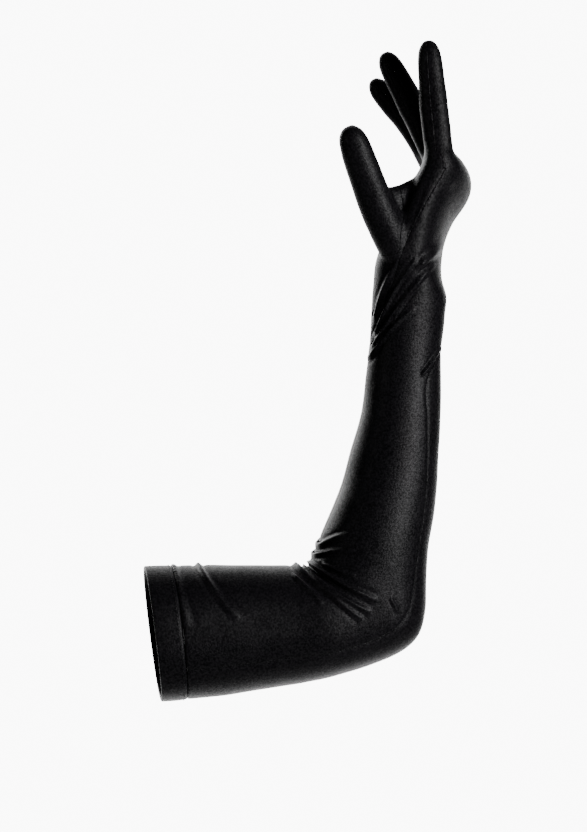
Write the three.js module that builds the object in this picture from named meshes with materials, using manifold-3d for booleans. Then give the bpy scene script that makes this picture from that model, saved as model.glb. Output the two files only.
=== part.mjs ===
// A long velvet evening glove for the right hand, in the bent shape that it takes on an arm.
// Units are millimetres and +Z is up. The origin is the middle of the opening at the upper arm.
// The opening faces -X, the elbow is at +X, the fingers point up and the thumb is on the -Y side.

import * as THREE from 'three';
import { mergeVertices } from 'three/addons/utils/BufferGeometryUtils.js';
import Module from 'manifold-3d';

const wasm = await Module();
wasm.setup();

// Cloth and sewing
const CLOTH = 1.2;            // thickness of the velvet
const SEAM_GAP = 0.3;         // space between two pieces along their seam
const HEM_DEPTH = 18;         // width of the edge that is turned in at the opening
const HEM_FOLD = 1.1;         // how far the turned edge is rounded over at the rim
const THUMB_SEAM = 15;        // from the thumb's middle line to the seam round its root
const WEB_HEIGHT = 22;        // web of cloth between the thumb and the palm, along the thumb
const WEB_THICKNESS = 11;
const SIDEWALL = 9;           // width of the strips between the fingers, at their root
const SIDEWALL_TIP = 3.5;     // width of the same strips where they end near the fingertips
const SEAM_DIP = 0.5;         // how far the long seams sink into the pile

// The arm inside, along its middle line
const UPPER_ARM = 103.5;       // opening to elbow bend
const ELBOW_REACH = 42;       // crease of the elbow to the middle line
const ELBOW_TURN = 65;        // degrees that the middle line turns round the crease
const FOREARM = 115;          // elbow bend to the start of the wrist
const WRIST = 70;             // the narrow stretch that the hand turns over
const HEEL = 38;              // wrist to the middle of the palm
const PALM = 50;              // middle of the palm to the row of knuckles
const KNUCKLES = 20;          // row of knuckles to the forks between the fingers

// How thick and how wide the arm is inside the cloth's outer face
const CUFF_DEPTH = 91;
const CUFF_WIDTH = 84;
const ELBOW_DEPTH = 93;
const ELBOW_WIDTH = 78;
const WRIST_DEPTH = 47;
const WRIST_WIDTH = 50;
const PALM_DEPTH = 31;
const PALM_WIDTH = 74;
const CUFF_LEAN = 5;          // degrees that the rim leans back at the top
const KNUCKLE_SLANT = 18;     // degrees that the row of knuckles slopes down to the little finger
const KNUCKLE_LIFT = 7.5;     // how far the seams rise towards the back of the hand at the knuckles

// Fingers: length from knuckle to tip, and size across
const INDEX_LENGTH = 98;
const MIDDLE_LENGTH = 104;
const RING_LENGTH = 100;
const LITTLE_LENGTH = 79;
const FINGER_DEPTH = 20.5;
const FINGER_WIDTH = 16.4;
const THUMB_LENGTH = 118;
const THUMB_DEPTH = 23;
const THUMB_WIDTH = 21;

// How finely the surface is divided
const SIDES = 18;
const FINGER_SIDES = 10;
const WEB_SIDES = 8;

const degrees = THREE.MathUtils.degToRad;

// The stretches of the middle line. Heading is the way the line runs, in degrees up from +X,
// and rings is the number of sections that the stretch is divided by.
const elbowLength = ELBOW_REACH * degrees(ELBOW_TURN);
const BONES = [
  { name: 'upper_arm', length: UPPER_ARM, from: 2, to: 5, rings: 7 },
  { name: 'elbow', length: elbowLength, from: 5, to: 5 + ELBOW_TURN, rings: 11 },
  { name: 'forearm', length: FOREARM, from: 5 + ELBOW_TURN, to: 84, rings: 5 },
  { name: 'wrist', length: WRIST, from: 84, to: 90, rings: 8 },
  { name: 'heel', length: HEEL, from: 90, to: 70, rings: 4 },
  { name: 'palm', length: PALM, from: 70, to: 66, rings: 3 },
  { name: 'knuckles', length: KNUCKLES, from: 66, to: 98, rings: 3 },
];

// Sizes that the sections take their shares of.
const GIRTHS = {
  cuff: { depth: CUFF_DEPTH, width: CUFF_WIDTH },
  elbow: { depth: ELBOW_DEPTH, width: ELBOW_WIDTH },
  wrist: { depth: WRIST_DEPTH, width: WRIST_WIDTH },
  palm: { depth: PALM_DEPTH, width: PALM_WIDTH },
};

// One row for each section that sets the shape. At is its place along the bone. Inner and outer
// are shares of the depth, towards the elbow's crease and away from it, and wide is a share of
// the width. Turn is how far the section is rolled, square how full its corners are, and seam is
// where the outer long seam lies, in degrees from the outer side towards the far side.
const sectionRow = (on, at, of, inner, outer, wide, turn, square, seam) => (
  { on, at, of, inner, outer, wide, turn, square, seam }
);
const SECTIONS = [
  sectionRow('upper_arm', 0.0, 'cuff', 0.5, 0.5, 1.0, 0, 2.1, -60),
  sectionRow('upper_arm', 0.33, 'cuff', 0.49, 0.485, 0.97, 0, 2.1, -61),
  sectionRow('upper_arm', 0.63, 'cuff', 0.465, 0.465, 0.94, 0, 2.1, -62),
  sectionRow('upper_arm', 0.9, 'cuff', 0.44, 0.44, 0.92, 0, 2.1, -62),
  sectionRow('elbow', 0.2, 'elbow', 0.4, 0.415, 1.0, 0, 2.15, -61),
  sectionRow('elbow', 0.46, 'elbow', 0.395, 0.46, 0.97, 0, 2.15, -58),
  sectionRow('elbow', 0.7, 'elbow', 0.395, 0.54, 0.95, 0, 2.1, -53),
  sectionRow('elbow', 0.82, 'elbow', 0.395, 0.555, 0.95, 0, 2.1, -50),
  sectionRow('elbow', 1.0, 'elbow', 0.39, 0.515, 0.96, 0, 2.1, -45),
  sectionRow('forearm', 0.27, 'elbow', 0.366, 0.41, 0.95, 0, 2.1, -42),
  sectionRow('forearm', 0.53, 'elbow', 0.322, 0.373, 0.87, 0, 2.1, -44),
  sectionRow('forearm', 0.75, 'elbow', 0.3, 0.343, 0.78, 0, 2.1, -48),
  sectionRow('forearm', 0.99, 'elbow', 0.263, 0.314, 0.7, 0, 2.1, -53),
  sectionRow('wrist', 0.38, 'wrist', 0.5, 0.58, 1.02, 2, 2.1, -54),
  sectionRow('wrist', 0.63, 'wrist', 0.475, 0.56, 1.0, 6, 2.1, -14),
  sectionRow('wrist', 0.92, 'wrist', 0.455, 0.595, 1.02, 9, 2.1, 42),
  sectionRow('heel', 0.36, 'wrist', 0.44, 0.61, 1.06, 13, 2.15, 72),
  sectionRow('heel', 0.8, 'palm', 0.72, 0.66, 0.82, 17, 2.2, 86),
  sectionRow('palm', 0.3, 'palm', 0.61, 0.5, 0.92, 20, 2.3, 90),
  sectionRow('palm', 0.75, 'palm', 0.5, 0.46, 0.99, 21, 2.4, 90),
  sectionRow('knuckles', 0.15, 'palm', 0.45, 0.56, 1.0, 21, 2.4, 90),
  sectionRow('knuckles', 0.45, 'palm', 0.4, 0.57, 0.98, 21, 2.4, 90),
  sectionRow('knuckles', 0.8, 'palm', 0.33, 0.42, 0.95, 21, 2.4, 90),
  sectionRow('knuckles', 1.0, 'palm', 0.22, 0.22, 0.86, 21, 2.2, 90),
];

// The folds that stand up from the sleeve. Each runs from one place to another, given as a bone,
// a share of its length and an angle from the outer side towards the far side. Rise and breadth
// are shares of the cloth's thickness.
const FOLDS = [
  { from: ['upper_arm', 0.2, 180], to: ['upper_arm', 0.3, 262], rise: 2.2, breadth: 2.6 },
  { from: ['upper_arm', 0.42, 180], to: ['upper_arm', 0.66, 250], rise: 2.4, breadth: 2.8 },
  { from: ['elbow', 0.02, 178], to: ['elbow', 0.1, 238], rise: 2.2, breadth: 2.6 },
  { from: ['elbow', 0.2, 180], to: ['elbow', 0.33, 276], rise: 2.6, breadth: 2.4 },
  { from: ['elbow', 0.38, 180], to: ['elbow', 0.47, 280], rise: 2.6, breadth: 2.4 },
  { from: ['elbow', 0.56, 180], to: ['elbow', 0.62, 278], rise: 2.6, breadth: 2.4 },
  { from: ['elbow', 0.74, 180], to: ['elbow', 0.79, 262], rise: 2.2, breadth: 2.2 },
  { from: ['elbow', 0.94, 180], to: ['elbow', 0.98, 250], rise: 2.2, breadth: 2.2 },
  { from: ['elbow', 0.3, 180], to: ['elbow', 0.36, 90], rise: 2.2, breadth: 2.6 },
  { from: ['elbow', 0.6, 180], to: ['elbow', 0.66, 90], rise: 2.2, breadth: 2.6 },
  { from: ['forearm', 0.14, 180], to: ['forearm', 0.2, 240], rise: 1.8, breadth: 2.4 },
  { from: ['wrist', 0.5, 212], to: ['heel', 0.9, 318], rise: 1.8, breadth: 1.9 },
  { from: ['wrist', 0.5, 206], to: ['heel', 0.35, 316], rise: 2.0, breadth: 1.9 },
  { from: ['wrist', 0.47, 204], to: ['wrist', 0.95, 304], rise: 2.0, breadth: 1.9 },
  { from: ['wrist', 0.4, 300], to: ['wrist', 0.62, 350], rise: 1.4, breadth: 2.6 },
];

// The fingers. Across is where a finger roots along the row of knuckles and down how far short
// of the row, both as shares of the palm's width, and back how far it sits towards the back of
// the hand, as a share of the palm's depth. From and to are the ways it points at the root and
// at the tip, in degrees up from +X, and splay leans it towards the far side.
const fingerRow = (name, length, across, back, down, from, to, splay, size) => (
  { name, length, across, back, down, from, to, splay, size }
);
const FINGERS = [
  fingerRow('index', INDEX_LENGTH, -0.37, 0.27, 0.02, 97, 95, -1, 1.0),
  fingerRow('middle', MIDDLE_LENGTH, -0.12, 0.3, 0.0, 113, 117, 0, 1.0),
  fingerRow('ring', RING_LENGTH, 0.13, 0.2, 0.08, 112, 129, 2, 0.95),
  fingerRow('little', LITTLE_LENGTH, 0.365, 0.15, 0.22, 100, 117, 4, 0.86),
];
const THUMB = {
  base: { on: 'heel', at: 0.5, inner: -0.075, near: 0.2 },
  length: THUMB_LENGTH, from: 119, to: 111.5, splay: -22,
};

// Size of a finger along its length, as a share of its size at the root.
const FINGER_PROFILE = [
  { at: 0.0, size: 0.72 }, { at: 0.3, size: 1.0 }, { at: 0.52, size: 1.0 }, { at: 0.7, size: 0.9 },
  { at: 0.86, size: 0.82 }, { at: 0.94, size: 0.68 }, { at: 0.985, size: 0.42 }, { at: 1.0, size: 0.2 },
];
const THUMB_PROFILE = [
  { at: 0.0, size: 1.0 }, { at: 0.3, size: 1.1 }, { at: 0.52, size: 1.05 }, { at: 0.66, size: 1.0 },
  { at: 0.82, size: 0.96 }, { at: 0.92, size: 0.86 }, { at: 0.98, size: 0.58 }, { at: 1.0, size: 0.28 },
];

// The seam round the thumb's root, as shares of its size: towards the back of the hand, where it
// runs up over the web, and on the other sides.
const THUMB_FOOT = [
  { at: 0.15, back: 0.13, rest: 0.2 }, { at: 0.2, back: 0.4, rest: 0.6 },
  { at: 0.3, back: 0.63, rest: 0.9 }, { at: 0.42, back: 0.97, rest: 1.0 },
  { at: 0.53, back: 1.25, rest: 1.0 }, { at: 0.65, back: 1.33, rest: 1.0 },
  { at: 1.1, back: 1.33, rest: 1.0 },
];

// The web from the thumb's middle line, at 0, into the palm, at 1. Drop, tall and thick are
// shares of its height and thickness.
const WEB_FROM = 0.5;
const WEB_TO = { on: 'palm', at: 0.75, angle: 225, inside: 0.8 };
const WEB = [
  { at: 0, drop: -0.05, tall: 1.0, thick: 1.1 },
  { at: 0.55, drop: 0.05, tall: 0.93, thick: 1.0 },
  { at: 0.8, drop: 0.02, tall: 0.95, thick: 1.0 },
  { at: 1, drop: 0, tall: 0.9, thick: 0.8 },
];

// A value between the rows of a table, on a smooth curve through them.
function between(rows, place, read) {
  const last = rows.length - 1;
  if (place <= rows[0].place) return read(rows[0]);
  if (place >= rows[last].place) return read(rows[last]);
  const i = rows.findIndex((row) => row.place > place) - 1;
  const slope = (k) => {
    const a = rows[Math.max(k - 1, 0)];
    const b = rows[Math.min(k + 1, last)];
    return (read(b) - read(a)) / (b.place - a.place);
  };
  const span = rows[i + 1].place - rows[i].place;
  const t = (place - rows[i].place) / span;
  const rise = read(rows[i + 1]) - read(rows[i]);
  const start = slope(i) * span;
  const end = slope(i + 1) * span;
  const curve = t * start + t * t * (3 * rise - 2 * start - end) + t * t * t * (start + end - 2 * rise);
  return read(rows[i]) + curve;
}

// The middle line, walked in short steps, so that a place along it gives a point and a heading.
const STEP = 0.5;
const starts = {};
let walked = 0;
for (const bone of BONES) {
  starts[bone.name] = walked;
  walked += bone.length;
}
const sleeveLength = walked;
const along = (name, share) => starts[name] + share * BONES.find((bone) => bone.name === name).length;

function headingAt(place) {
  const bone = BONES.findLast((b) => starts[b.name] <= Math.max(place, 0));
  const share = THREE.MathUtils.clamp((place - starts[bone.name]) / bone.length, 0, 1);
  return degrees(THREE.MathUtils.lerp(bone.from, bone.to, share));
}

const trail = [new THREE.Vector3()];
for (let place = 0; place < sleeveLength + STEP; place += STEP) {
  const heading = headingAt(place + STEP / 2);
  const move = new THREE.Vector3(Math.cos(heading), 0, Math.sin(heading)).multiplyScalar(STEP);
  trail.push(trail.at(-1).clone().add(move));
}

function lineAt(place) {
  const heading = headingAt(place);
  const ahead = new THREE.Vector3(Math.cos(heading), 0, Math.sin(heading));
  const outward = new THREE.Vector3(Math.sin(heading), 0, -Math.cos(heading));
  const whole = THREE.MathUtils.clamp(Math.floor(place / STEP), 0, trail.length - 2);
  const middle = trail[whole].clone().addScaledVector(ahead, place - whole * STEP);
  return { middle, ahead, outward };
}

for (const row of SECTIONS) row.place = along(row.on, row.at);
for (const fold of FOLDS) {
  fold.start = { place: along(fold.from[0], fold.from[1]), angle: fold.from[2] };
  fold.end = { place: along(fold.to[0], fold.to[1]), angle: fold.to[2] };
}

// Section of the sleeve and hand at a place along the middle line.
function sectionAt(place) {
  const pick = (read) => between(SECTIONS, place, read);
  return {
    inner: pick((row) => row.inner * GIRTHS[row.of].depth),
    outer: pick((row) => row.outer * GIRTHS[row.of].depth),
    half: pick((row) => (row.wide * GIRTHS[row.of].width) / 2),
    turn: degrees(pick((row) => row.turn)),
    square: pick((row) => row.square),
    seam: pick((row) => row.seam),
  };
}

// Height of the folds and dip of the two long seams at a place and an angle in degrees.
function reliefAt(place, angle, section) {
  const size = (section.inner + section.outer + 2 * section.half) / 4;
  const apart = (a, b) => THREE.MathUtils.euclideanModulo(a - b + 180, 360) - 180;
  let height = 0;
  for (const fold of FOLDS) {
    const turn = fold.end.angle - fold.start.angle;
    const run = new THREE.Vector2(fold.end.place - fold.start.place, degrees(turn) * size);
    const round = degrees(apart(angle, fold.start.angle)) * size;
    const here = new THREE.Vector2(place - fold.start.place, round);
    const share = THREE.MathUtils.clamp(here.dot(run) / run.lengthSq(), 0, 1);
    const far = here.distanceTo(run.clone().multiplyScalar(share)) / (fold.breadth * CLOTH);
    height += fold.rise * CLOTH * Math.exp(-far * far) * Math.cos((share * Math.PI) / 2) ** 0.5;
  }
  for (const side of [0, 180]) {
    const far = (degrees(apart(angle, section.seam + side)) * size) / (2 * CLOTH);
    height -= SEAM_DIP * Math.exp(-far * far);
  }
  return height;
}

// How far a place has passed from the heel of the hand, at 0, to the knuckles, at 1.
const nearKnuckles = (place) => THREE.MathUtils.smoothstep(place, along('palm', 0), along('knuckles', 0.3));

// How far the seams lie towards the back of the hand at a place. They rise to the roots of the
// fingers and drop away again over the forks.
function seamLift(place) {
  const past = THREE.MathUtils.smoothstep(place, along('knuckles', 0.25), along('knuckles', 0.9));
  return KNUCKLE_LIFT * nearKnuckles(place) * (1 - 2 * past);
}

// One point of the sleeve, grown outwards by a distance, or taken in where it is negative.
function sleevePoint(place, angle, grow = 0, relief = true) {
  const section = sectionAt(place);
  const { middle, ahead, outward } = lineAt(place);
  const far = new THREE.Vector3(0, 1, 0);
  const [level, rolled] = [Math.cos(section.turn), Math.sin(section.turn)];
  const back = outward.clone().multiplyScalar(level).addScaledVector(far, -rolled);
  const side = far.multiplyScalar(level).addScaledVector(outward, rolled);
  const raised = grow + (relief ? reliefAt(place, angle, section) : 0);
  const round = (value) => Math.sign(value) * Math.abs(value) ** (2 / section.square);
  const cos = round(Math.cos(degrees(angle)));
  const sin = round(Math.sin(degrees(angle)));
  const deep = cos * ((cos > 0 ? section.outer : section.inner) + raised);
  const wide = sin * (section.half + raised);
  const lean = Math.tan(degrees(CUFF_LEAN)) * Math.max(0, 1 - place / along('upper_arm', 0.6));
  const slant = -Math.tan(degrees(KNUCKLE_SLANT)) * nearKnuckles(place);
  middle.addScaledVector(back, deep).addScaledVector(side, wide);
  return middle.addScaledVector(ahead, lean * deep + slant * wide);
}

// Places of the rings, from one place to the end of the last bone.
function ringPlaces(first) {
  const places = [first];
  for (const bone of BONES) {
    for (let i = 1; i <= bone.rings; i += 1) {
      const place = along(bone.name, i / bone.rings);
      if (place > first + 2 * CLOTH) places.push(place);
    }
  }
  return places;
}

// Angles of the points of a ring, with its first edge across the given angle.
function roundAngles(sides, first = 0) {
  return Array.from({ length: sides }, (_, i) => first + (360 * (i + 0.5)) / sides);
}

// A ring of the sleeve. Its points follow the long seams round the arm.
function sleeveRing(place, grow) {
  return roundAngles(SIDES, sectionAt(place).seam).map((angle) => sleevePoint(place, angle, grow));
}

// The faces between two rings of points, split along the shorter way across.
function band(lower, upper, first, second) {
  const count = lower.length;
  const across = (shift) => lower.reduce((sum, point, i) => (
    sum + point.distanceTo(upper[(i + shift + count) % count])), 0);
  const forwards = across(1) < across(-1);
  const faces = [];
  for (let i = 0; i < count; i += 1) {
    const next = (i + 1) % count;
    const [a, b, c, d] = [first + i, first + next, second + next, second + i];
    faces.push(...(forwards ? [a, b, c, a, c, d] : [a, b, d, b, c, d]));
  }
  return faces;
}

// A closed solid from rings of points, each with the same number of points, capped at both ends.
function skin(rings) {
  const count = rings[0].length;
  const positions = rings.flat().flatMap((point) => point.toArray());
  const faces = [];
  for (let r = 0; r + 1 < rings.length; r += 1) {
    faces.push(...band(rings[r], rings[r + 1], r * count, (r + 1) * count));
  }
  const capEnd = (ring, first, forwards) => {
    const centre = ring.reduce((sum, point) => sum.add(point), new THREE.Vector3()).divideScalar(count);
    const hub = positions.length / 3;
    positions.push(...centre.toArray());
    for (let i = 0; i < count; i += 1) {
      const a = first + i;
      const b = first + ((i + 1) % count);
      faces.push(...(forwards ? [hub, a, b] : [hub, b, a]));
    }
  };
  capEnd(rings[0], 0, false);
  capEnd(rings.at(-1), (rings.length - 1) * count, true);
  return solidFrom(positions, faces);
}

// A manifold solid, turned the right way out.
function solidFrom(positions, faces) {
  const make = (order) => {
    const geometry = new THREE.BufferGeometry();
    geometry.setAttribute('position', new THREE.Float32BufferAttribute(positions, 3));
    geometry.setIndex(order);
    const merged = mergeVertices(geometry, 1e-4);
    return new wasm.Manifold(new wasm.Mesh({
      numProp: 3,
      vertProperties: merged.attributes.position.array,
      triVerts: new Uint32Array(merged.index.array),
    }));
  };
  const solid = make(faces);
  if (solid.volume() > 0) return solid;
  const turned = [];
  for (let i = 0; i < faces.length; i += 3) turned.push(faces[i], faces[i + 2], faces[i + 1]);
  return make(turned);
}

const joined = (solids) => solids.reduce((sum, solid) => sum.add(solid));

// The sleeve and palm as one solid, from a place to the forks of the fingers.
function sleeveSolid(first, grow) {
  const places = ringPlaces(first);
  const end = places.pop() + grow;
  return skin([...places, end].map((place) => sleeveRing(place, grow)));
}

// Middle line of a finger: points, and the ways along, towards the back and to the far side.
// A finger bends in the plane that the hand is turned to.
function fingerLine(finger, root) {
  const rows = [];
  const middle = root.clone();
  const pieces = 24;
  const { turn } = sectionAt(sleeveLength);
  for (let i = 0; i <= pieces; i += 1) {
    const share = i / pieces;
    const bend = THREE.MathUtils.smoothstep(share, 0.25, 0.65);
    const heading = degrees(THREE.MathUtils.lerp(finger.from, finger.to, bend));
    const across = Math.sin(degrees(finger.splay)) - Math.cos(heading) * Math.tan(turn);
    const ahead = new THREE.Vector3(Math.cos(heading), across, Math.sin(heading)).normalize();
    const outward = new THREE.Vector3(Math.sin(heading), 0, -Math.cos(heading));
    const back = outward.multiplyScalar(Math.cos(turn)).add(new THREE.Vector3(0, -Math.sin(turn), 0));
    const side = new THREE.Vector3().crossVectors(back, ahead).normalize();
    if (side.y < 0) side.negate();
    const upright = new THREE.Vector3().crossVectors(ahead, side);
    rows.push({ share, middle: middle.clone(), ahead, back: upright, side });
    middle.addScaledVector(ahead, finger.length / pieces);
  }
  for (const row of rows) if (row.back.x < 0) row.back.negate();
  return (share) => {
    const place = THREE.MathUtils.clamp(share * pieces, 0, pieces);
    const near = rows[Math.min(Math.floor(place), pieces - 1)];
    const extra = share * finger.length - near.share * finger.length;
    return { ...near, middle: near.middle.clone().addScaledVector(near.ahead, extra) };
  };
}

// Root of each finger on the row of knuckles.
for (const finger of FINGERS) {
  const row = lineAt(along('knuckles', 0));
  const { turn } = sectionAt(along('knuckles', 0));
  const side = new THREE.Vector3(0, Math.cos(turn), 0).addScaledVector(row.outward, Math.sin(turn));
  const root = row.middle.addScaledVector(side, finger.across * PALM_WIDTH);
  root.addScaledVector(row.ahead, -finger.down * PALM_WIDTH);
  root.addScaledVector(row.outward, (finger.back * PALM_DEPTH) / Math.cos(turn));
  finger.line = fingerLine(finger, root);
  finger.depth = FINGER_DEPTH * finger.size;
  finger.width = FINGER_WIDTH * finger.size;
  finger.profile = FINGER_PROFILE.map((r) => ({ ...r, place: r.at }));
}
{
  const { base } = THUMB;
  const place = along(base.on, base.at);
  const row = lineAt(place);
  const root = row.middle.addScaledVector(row.outward, -base.inner * PALM_WIDTH);
  root.y -= base.near * PALM_WIDTH;
  THUMB.line = fingerLine(THUMB, root);
  THUMB.depth = THUMB_DEPTH;
  THUMB.width = THUMB_WIDTH;
  THUMB.profile = THUMB_PROFILE.map((r) => ({ ...r, place: r.at }));
}

// A finger as a closed tube, grown or taken in by a distance.
const FINGER_RINGS = [0, 0.3, 0.45, 0.62, 0.8, 0.91, 0.975, 1];
function fingerSolid(finger, grow) {
  const rings = FINGER_RINGS.map((share) => {
    const row = finger.line(share);
    const reach = share === 1 ? grow : share > 0.9 ? (grow * (share - 0.9)) / 0.1 : 0;
    const size = between(finger.profile, share, (r) => r.size);
    const centre = row.middle.clone().addScaledVector(row.ahead, reach);
    return roundAngles(FINGER_SIDES).map((angle) => {
      const deep = Math.cos(degrees(angle)) * Math.max(0.4, (finger.depth * size) / 2 + grow);
      const wide = Math.sin(degrees(angle)) * Math.max(0.4, (finger.width * size) / 2 + grow);
      return centre.clone().addScaledVector(row.back, deep).addScaledVector(row.side, wide);
    });
  });
  return skin(rings);
}

// The web between the thumb and the palm, grown or taken in by a distance.
function webSolid(grow) {
  const start = THUMB.line(WEB_FROM);
  const place = along(WEB_TO.on, WEB_TO.at);
  const end = sleevePoint(place, WEB_TO.angle, -WEB_TO.inside * WEB_THICKNESS, false);
  const run = end.clone().sub(start.middle);
  const tall = start.ahead.clone().add(lineAt(place).ahead);
  const side = tall.clone().cross(run).normalize();
  const up = new THREE.Vector3().crossVectors(run, side).normalize();
  return skin(WEB.map((row) => {
    const centre = start.middle.clone().addScaledVector(run, row.at);
    centre.addScaledVector(up, -row.drop * WEB_HEIGHT);
    return roundAngles(WEB_SIDES).map((angle) => {
      const high = Math.cos(degrees(angle)) * ((row.tall * WEB_HEIGHT) / 2 + grow);
      const thick = Math.sin(degrees(angle)) * ((row.thick * WEB_THICKNESS) / 2 + grow);
      return centre.clone().addScaledVector(up, high).addScaledVector(side, thick);
    });
  }));
}

// Space on the palm side of the long seams, along the sleeve and the hand.
const REGION_REACH = 4.5;     // how far the cutting spaces stand out past the cloth
function palmSideOfSleeve(gap) {
  const places = [-REGION_REACH, ...ringPlaces(0), sleeveLength + REGION_REACH + gap];
  const rings = places.map((place) => {
    const { seam } = sectionAt(place);
    const angles = Array.from({ length: 17 }, (_, i) => seam + (180 * i) / 16);
    const edge = angles.map((angle) => sleevePoint(place, angle, REGION_REACH, false));
    const centre = edge[0].clone().add(edge.at(-1)).multiplyScalar(0.5);
    const push = centre.clone().sub(edge[8]).setLength(gap + 0.01 + seamLift(place));
    edge[0].add(push);
    edge[16].add(push);
    return edge;
  });
  return skin(rings);
}

// A box-shaped space swept along a finger. Deep and wide each hold its two sides, as functions
// of the share of the finger's length.
function sweptBox(finger, first, last, deep, wide) {
  const within = FINGER_RINGS.filter((share) => share > first + 0.02 && share < last - 0.02);
  const rings = [first, ...within, last].map((share) => {
    const row = finger.line(share);
    const corner = (d, w) => row.middle.clone().addScaledVector(row.back, d).addScaledVector(row.side, w);
    const [back, front] = deep(share);
    const [near, far] = wide(share);
    return [corner(back, near), corner(back, far), corner(front, far), corner(front, near)];
  });
  return skin(rings);
}

// The half of a finger on its palm side, or on its back, from just above its root to past its
// tip. A gap moves the cut towards the back.
const FINGER_CUT = 0.12;
function halfOfFinger(finger, towardsBack, gap) {
  const reach = finger.depth / 2 + REGION_REACH;
  const half = finger.width / 2 + 1 + (towardsBack ? -gap : gap);
  const first = FINGER_CUT + (towardsBack ? gap : -gap) / finger.length;
  const last = 1 + REGION_REACH / finger.length;
  return sweptBox(finger, first, last, () => [gap, towardsBack ? reach : -reach], () => [-half, half]);
}

// Strip of cloth on the side of a finger that faces its neighbour.
const STRIP_START = 0.16;
const STRIP_END = 0.88;
const FORK_START = 0.13;
const FORK_END = 0.4;
function stripSpace(finger, direction, gap) {
  const deep = (share) => {
    const t = (share - STRIP_START) / (STRIP_END - STRIP_START);
    const half = THREE.MathUtils.lerp(SIDEWALL, SIDEWALL_TIP, t) / 2 + gap;
    return [half, -half];
  };
  const far = finger.width / 2 + 0.5;
  const wide = () => (direction > 0 ? [0, far + gap] : [-far - gap, 0]);
  const extra = gap / finger.length;
  return sweptBox(finger, STRIP_START - extra, STRIP_END + extra, deep, wide);
}

// Space across the fork between two fingers, where the strip turns from one to the other.
function forkSpace(finger, next, gap) {
  const half = SIDEWALL * 0.62 + gap;
  return skin([finger, next].map((digit) => {
    const corner = (share, deep) => {
      const row = digit.line(share);
      return row.middle.clone().addScaledVector(row.back, deep);
    };
    const low = FORK_START - gap / digit.length;
    return [corner(low, -half), corner(low, half), corner(FORK_END, half), corner(FORK_END, -half)];
  }));
}

// Space round the thumb, with a rounded foot, that the seam of the thumb follows.
function thumbSpace(gap) {
  return skin(THUMB_FOOT.map(({ at, back, rest }) => {
    const row = THUMB.line(at - (gap * (1 - rest)) / THUMB.length);
    return roundAngles(12).map((angle) => {
      const cos = Math.cos(degrees(angle));
      const deep = cos * ((cos > 0 ? back : rest) * THUMB_SEAM + gap);
      const wide = Math.sin(degrees(angle)) * (rest * THUMB_SEAM + gap);
      return row.middle.clone().addScaledVector(row.back, deep).addScaledVector(row.side, wide);
    });
  }));
}

// The turned edge at the opening: two layers of cloth, rounded over at the rim.
function hemRing() {
  const outline = [
    [HEM_DEPTH, 0], [HEM_DEPTH * 0.55, 0], [HEM_FOLD, 0], [0.3 * HEM_FOLD, -0.4 * CLOTH], [0, -CLOTH],
    [0.3 * HEM_FOLD, -1.6 * CLOTH], [HEM_FOLD, -2 * CLOTH], [HEM_DEPTH * 0.55, -2 * CLOTH],
    [HEM_DEPTH, -2 * CLOTH],
  ];
  const rings = outline.map(([place, grow]) => sleeveRing(place, grow));
  const positions = rings.flat().flatMap((point) => point.toArray());
  const faces = rings.flatMap((ring, r) => {
    const next = (r + 1) % rings.length;
    return band(ring, rings[next], r * SIDES, next * SIDES);
  });
  return solidFrom(positions, faces);
}

const digits = [...FINGERS, THUMB];
const body = (first, grow) => joined([
  sleeveSolid(first, grow), webSolid(grow), ...digits.map((digit) => fingerSolid(digit, grow)),
]);
const shell = body(HEM_DEPTH + SEAM_GAP, 0).subtract(body(HEM_DEPTH - REGION_REACH, -CLOTH));

const largest = (solid) => solid.decompose().sort((a, b) => b.volume() - a.volume())[0];

const pieces = {};
pieces.cuff_hem = hemRing();
pieces.thumb = largest(shell.intersect(thumbSpace(0)));
let rest = shell.subtract(thumbSpace(SEAM_GAP));
for (const [i, finger] of FINGERS.slice(0, -1).entries()) {
  const next = FINGERS[i + 1];
  const strips = (gap) => [stripSpace(finger, 1, gap), stripSpace(next, -1, gap)];
  const space = (gap) => joined([...strips(gap), forkSpace(finger, next, gap)]);
  pieces[`sidewall_${finger.name}_${next.name}`] = largest(rest.intersect(space(0)));
  rest = rest.subtract(space(SEAM_GAP));
}
function palmSide(gap) {
  const hand = palmSideOfSleeve(gap).subtract(joined(FINGERS.map((f) => halfOfFinger(f, true, gap))));
  return joined([hand, webSolid(1 + gap), ...FINGERS.map((f) => halfOfFinger(f, false, gap))]);
}
pieces.palm_panel = largest(rest.intersect(palmSide(0)));
pieces.back_panel = largest(rest.subtract(palmSide(SEAM_GAP)));

const velvet = new THREE.MeshStandardMaterial({ color: 0x0c0b0d, roughness: 0.95, metalness: 0 });

const glove = new THREE.Group();
glove.name = 'velvet_glove';
for (const [name, solid] of Object.entries(pieces)) {
  const { vertProperties, triVerts } = solid.getMesh();
  const geometry = new THREE.BufferGeometry();
  geometry.setAttribute('position', new THREE.Float32BufferAttribute(vertProperties, 3));
  geometry.setIndex(Array.from(triVerts));
  geometry.computeVertexNormals();
  const mesh = new THREE.Mesh(geometry, velvet.clone());
  mesh.name = name;
  glove.add(mesh);
}

export default glove;
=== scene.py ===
# %% [markdown]
# # A long velvet evening glove
# The glove is sewn from a palm panel, a back panel, a set-in thumb, strips between the fingers
# and a turned edge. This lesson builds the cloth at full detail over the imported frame: the form
# of the arm inside, the folds at the elbow and wrist, the seams, the pile and the stitches.

# %% Load the frame
import math
import bmesh
import bpy
import numpy as np
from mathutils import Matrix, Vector, noise
from mathutils.kdtree import KDTree


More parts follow.
